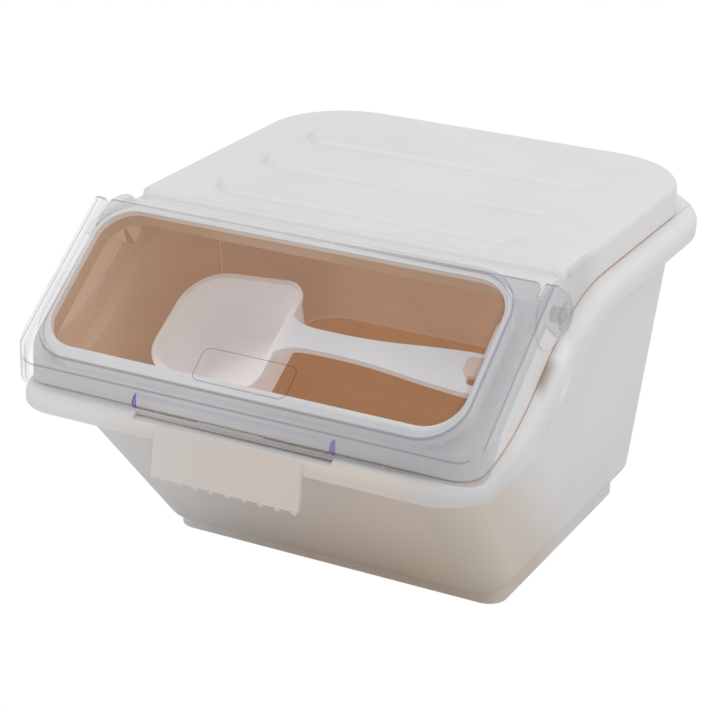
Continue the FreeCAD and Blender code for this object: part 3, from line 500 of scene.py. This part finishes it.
def scoop_plastic():
    """White, with a painted glow standing in for light from behind through its thin walls: least
    at the bowl's left end.
    """
    n = Plastic("scoop_white", SCOOP_WHITE, SCOOP_SHADE, SMOOTH)
    right = n.ramp(n.minus(n.x, n.along), *BOWL_RIGHT)
    bowl = n.mix(right, BOWL_LEFT_GLOW, BOWL_RIGHT_GLOW)
    # painted glow, standing in for light through the scoop's thin walls
    n.glow(n.mix(n.ramp(n.x, *HANDLE_X), bowl, HANDLE_GLOW), SCOOP_GLOW)
    return n.done()


# ---- clear plastic ----------------------------------------------------------------------
def panel_depth(n):
    """How far inside the outline of the clear lid's raised panel."""
    side = n.minus(PANEL_HALF, n.off_centre)
    end = n.minus(PANEL_LENGTH / 2, n.distance(n.along, PANEL_MIDDLE))
    return n.rounded_depth(side, end, PANEL_RADIUS)


def clear_lines(n):
    """Thin lines along the lid's folds and edges, painted highlights and painted shade: one mask
    for pale ones, one for dark ones.
    """
    panel = panel_depth(n)
    raised = n.above(n.out, LID_OUT + PANEL_RISE)
    flange = n.product(n.above(n.out, LID_OUT - FLANGE_THICK), n.below(n.y, PIVOT_Y))
    pale = n.either(
        n.product(raised, n.band(panel, PANEL_PALE, *PANEL_PALE_LINE)),
        n.product(flange, n.band(n.off_centre, LID_HALF - FLANGE_PALE, *FLANGE_PALE_LINE)))
    dark = n.either(
        n.product(raised, n.band(panel, PANEL_DARK, *THIN_LINE)),
        n.product(flange, n.band(n.off_centre, LID_HALF - FLANGE_DARK, *THIN_LINE)),
        n.product(flange, n.band(n.along, LID_LENGTH - FOLD_IN, *FOLD_LINE)),
        n.product(n.band(n.out, LID_OUT - FOLD_IN, *FOLD_LINE),
                  n.below(n.y, LID_FRONT + FRONT_FOLD_REACH)))
    return pale, dark


def clear_tint(n):
    """Near white, with shaded panel edges, a faint label outline as a painted shade line, painted
    shade in the grip's slots and a lavender grip.
    """
    mottle = n.ramp(n.noise(*CLEAR_MOTTLE), *CLEAR_MOTTLE_RANGE)
    tint = n.mix(mottle, CLEAR_WHITE, CLEAR_SHADE)
    grip_top = n.product(n.band(n.z, GRIP_TOP_Z, *LEVEL_LINE), n.below(n.off_centre, GRIP_END),
                         n.below(n.y, GRIP_TOP_Y))
    panel_shade = n.product(n.fade(panel_depth(n), *PANEL_SHADE_DEPTH),
                            n.ramp(n.x, *PANEL_SHADE_X, PANEL_SHADE_LEAST, 1.0))
    side = n.minus(LABEL_HALF, n.distance(n.x, LABEL_X))
    end = n.minus(LABEL_REACH, n.distance(n.along, LABEL_MIDDLE))
    label = n.product(n.band(n.rounded_depth(side, end, LABEL_RADIUS), LABEL_EDGE, *FINE_LINE),
                      n.above(n.out, LABEL_OUT))
    slots = n.product(n.band(n.z, SLOT_Z, *SLOT_LINE),
                      n.band(n.off_centre, SLOT_X, SLOT_REACH, SLOT_FADE), n.below(n.y, SLOT_Y))
    ends = n.product(n.band(n.off_centre, GRIP_END, *GRIP_SIDE_WIDTH),
                     n.band(n.z, GRIP_Z, GRIP_REACH_Z, GRIP_SIDE_FADE),
                     n.fade(n.y, GRIP_Y, GRIP_Y + GRIP_FADE_Y))
    for mask, color in ((grip_top, GRIP_TOP), (panel_shade, PANEL_SHADE), (label, LABEL_SHADE_LINE),
                        (slots, SLOT_SHADE_PINK), (ends, GRIP_ENDS)):
        tint = n.mix(mask, tint, color)
    return tint


def clear_plastic():
    """Clear thin plastic: see-through face on, whiter and glossier towards its edges."""
    n = Nodes("clear")
    tint = clear_tint(n)
    pale, dark = clear_lines(n)
    edge_on = n.add("ShaderNodeLayerWeight").outputs["Facing"]
    body = n.add("ShaderNodeBsdfPrincipled")
    body.inputs["IOR"].default_value = CLEAR_IOR
    n.link(tint, body.inputs["Base Color"])
    smudge = n.ramp(n.noise(*CLEAR_SMUDGE), *CLEAR_SMUDGE_RANGE, *CLEAR_ROUGH)
    n.link(smudge, body.inputs["Roughness"])
    n.link(n.bump(n.noise(*CLEAR_FLOW), *CLEAR_BUMP), body.inputs["Normal"])
    through = n.add("ShaderNodeBsdfTransparent")
    ray = n.add("ShaderNodeLightPath")
    passing = n.either(ray.outputs["Is Shadow Ray"], ray.outputs["Is Diffuse Ray"])
    seen = n.mix(dark, n.mix(n.ramp(edge_on, *EDGE_TINT_TURN), tint, EDGE_SHADE), LINE_SHADE)
    n.link(n.mix(passing, seen, FULL_WHITE), through.inputs["Color"])
    skin = n.product(n.ramp(edge_on, *SKIN_TURN, CLEAR_FACE, CLEAR_EDGE),
                     n.ramp(pale, 0.0, 1.0, 1.0, PALE_LINE_PASS))
    n.mix_shaders(n.either(passing, skin), body, through)
    return n.material


def add_materials():
    """Give each part its plastic."""
    clear = clear_plastic()
    for node, material in (("bin_body", tub_plastic()), ("cover", cover_plastic()),
                           ("front_lid", clear), ("hinge_pin_left", clear),
                           ("hinge_pin_right", clear), ("scoop", scoop_plastic()),
                           ("scoop_holder", holder_plastic())):
        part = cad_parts[node]
        part.data.materials.clear()
        part.data.materials.append(material)


# ---- stage and light --------------------------------------------------------------------
FLOOR_REACH = 14.0
FLOOR_BOUNCE = (0.76, 0.76, 0.76, 1.0)
WORLD_STRENGTH = 0.75
LIGHTS = (("top", (0.1, 0.3, 2.0), (0, 0, 0.1), (1.8, 1.6), 6.0),       # name, at, aim, size, W
          ("right", (2.0, 0.5, 1.0), (0, 0, 0.15), (1.4, 1.4), 4.5))


def add_floor():
    """Plain white floor: pure white to look at, with a softer bounce for the light."""
    mesh = bpy.data.meshes.new("floor")
    r = FLOOR_REACH
    mesh.from_pydata([(-r, -r, 0), (r, -r, 0), (r, r, 0), (-r, r, 0)], [], [(0, 1, 2, 3)])
    floor = bpy.data.objects.new("floor", mesh)
    bpy.context.scene.collection.objects.link(floor)
    n = Nodes("floor")
    matte = n.add("ShaderNodeBsdfDiffuse")
    matte.inputs["Color"].default_value = FLOOR_BOUNCE
    white = n.add("ShaderNodeEmission")
    ray = n.add("ShaderNodeLightPath")
    seen = n.either(ray.outputs["Is Camera Ray"], ray.outputs["Is Transmission Ray"])
    n.mix_shaders(seen, matte, white)
    mesh.materials.append(n.material)


def add_area(name, at, aim, size, watts):
    """Rectangular light at one place, aimed at another."""
    data = bpy.data.lights.new(name, "AREA")
    data.shape = "RECTANGLE"
    data.size, data.size_y = size
    data.energy = watts
    light = bpy.data.objects.new(name, data)
    bpy.context.scene.collection.objects.link(light)
    at, aim = Vector(at), Vector(aim)
    turn = (aim - at).to_track_quat("-Z", "Y").to_matrix().to_4x4()
    light.matrix_world = Matrix.Translation(at) @ turn


def add_light():
    """Even white surroundings, with a large soft light above and one on the right."""
    world = bpy.data.worlds.new("studio")
    world.use_nodes = True
    background = world.node_tree.nodes["Background"]
    background.inputs["Color"].default_value = FULL_WHITE
    background.inputs["Strength"].default_value = WORLD_STRENGTH
    bpy.context.scene.world = world
    for light in LIGHTS:
        add_area(*light)


add_camera()
add_materials()
add_floor()
add_light()
bpy.context.scene.view_settings.view_transform = "Standard"
